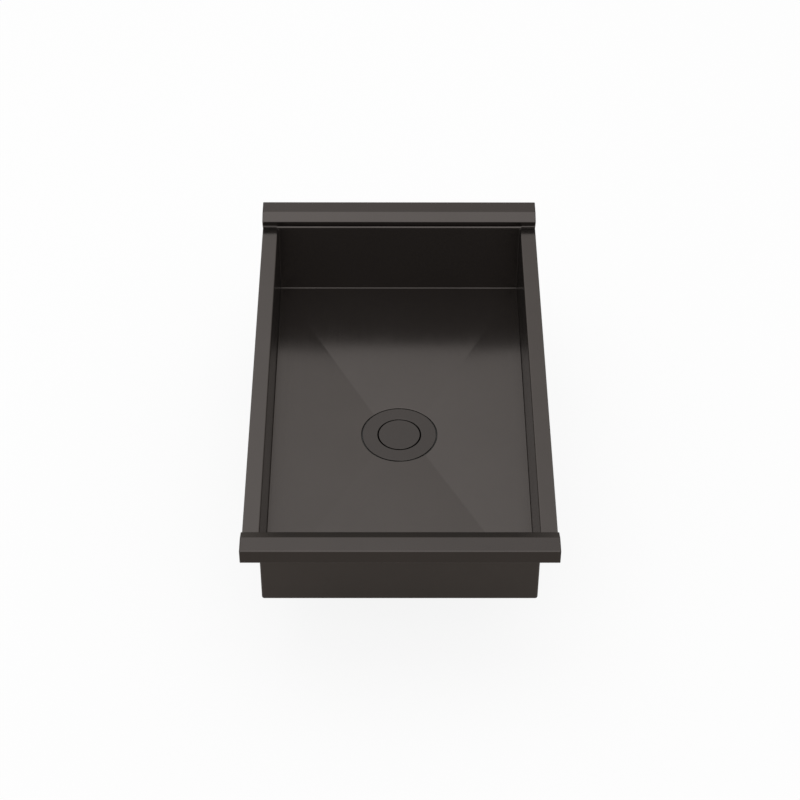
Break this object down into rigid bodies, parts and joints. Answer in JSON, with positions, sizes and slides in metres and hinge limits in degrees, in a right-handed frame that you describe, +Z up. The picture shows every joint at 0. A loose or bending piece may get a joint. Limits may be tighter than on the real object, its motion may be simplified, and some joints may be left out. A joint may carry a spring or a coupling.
{
  "type": "kitchen sink",
  "caption": "Single-bowl kitchen sink of folded dark steel sheet with flat side flanges, raised end rails, a creased floor and a flush basket waste with a lift-out lid.",
  "frame": {"origin": "middle of the bowl, in the plane of the side flanges' top faces, on the drain's axis", "axes": "+Z up, +Y along the bowl towards the far rail, +X to the right as seen from the near rail"},
  "size_m": [0.4348, 0.7532, 0.2457],
  "materials": {
    "bowl_steel": "satin dark gunmetal coating on brushed stainless sheet",
    "rail_steel": "satin dark gunmetal coating on brushed stainless sheet",
    "waste_steel": "satin dark gunmetal coating on turned and pressed steel",
    "bright_steel": "plain bright stainless",
    "nut_brass": "machined",
    "seal_rubber": "matt black rubber",
    "deadening_pad": "matt bonded rubber sheet",
    "body_plastic": "moulded black polypropylene"
  },
  "bodies": {
    "sink": {"bowl_shell": "bowl_steel", "front_rail": "rail_steel", "rear_rail": "rail_steel", "front_rail_left_cap": "rail_steel", "front_rail_right_cap": "rail_steel", "rear_rail_left_cap": "rail_steel", "rear_rail_right_cap": "rail_steel", "floor_pad_front": "deadening_pad", "floor_pad_rear": "deadening_pad", "wall_pad_left": "deadening_pad", "wall_pad_right": "deadening_pad", "waste_cup": "waste_steel", "flange_seal": "seal_rubber", "body_seal": "seal_rubber", "waste_body": "body_plastic", "clamp_screw": "bright_steel", "clamp_nut": "nut_brass"},
    "basket": {"strainer_basket": "bright_steel", "basket_seal": "seal_rubber", "basket_stem": "bright_steel", "seal_retainer": "body_plastic", "stem_clip": "bright_steel"},
    "lid": {"drain_lid": "waste_steel", "lid_spigot": "body_plastic"}
  },
  "joints": [
    {"name": "basket_lift", "type": "slide", "parent": "sink", "child": "basket", "axis": [0, 0, 1], "range_m": [0, 0.055]},
    {"name": "lid_lift", "type": "slide", "parent": "basket", "child": "lid", "axis": [0, 0, 1], "range_m": [0, 0.03]}
  ]
}
